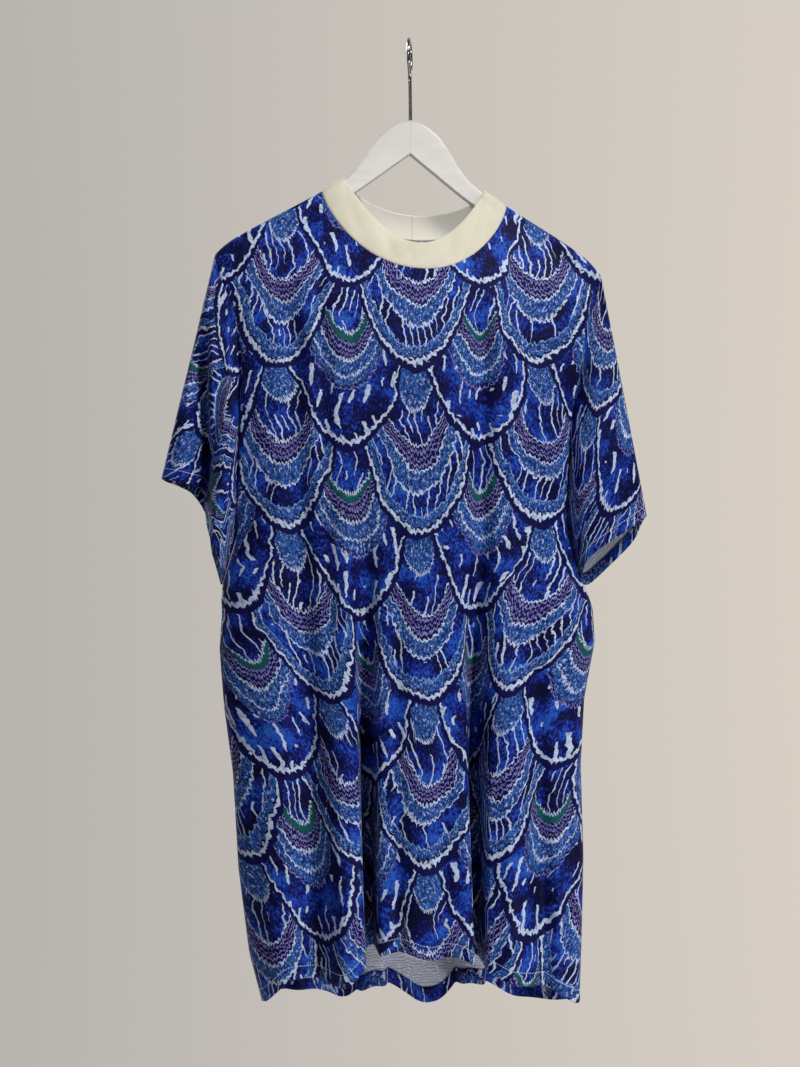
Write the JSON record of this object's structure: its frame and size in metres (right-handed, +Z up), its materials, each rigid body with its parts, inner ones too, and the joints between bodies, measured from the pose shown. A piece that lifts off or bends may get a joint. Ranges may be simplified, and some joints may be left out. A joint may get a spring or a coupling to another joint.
{
  "type": "t-shirt dress on a hanger",
  "caption": "Loose drop-shoulder t-shirt dress in printed jersey with a cream neckband and a dipped back hem, hanging flat on a plain white hanger with a wire hook",
  "frame": {"origin": "inner top of the hanger's hook, where it rests on a rail", "axes": "+Z up; the dress's front faces -Y; +X is to the right of someone who looks at the front"},
  "size_m": [0.5165, 0.1253, 1.0417],
  "materials": {
    "printed_jersey": "smooth printed viscose jersey with a faint sheen",
    "rib_jersey": "matte cream jersey band",
    "painted_wood": "satin white paint",
    "steel_wire": "bright plated wire"
  },
  "bodies": {
    "root": {"body_front": "printed_jersey", "body_back": "printed_jersey", "sleeve_left": "printed_jersey", "sleeve_right": "printed_jersey", "neckband": "rib_jersey", "hanger_body": "painted_wood", "hanger_hook": "steel_wire"}
  },
  "joints": []
}
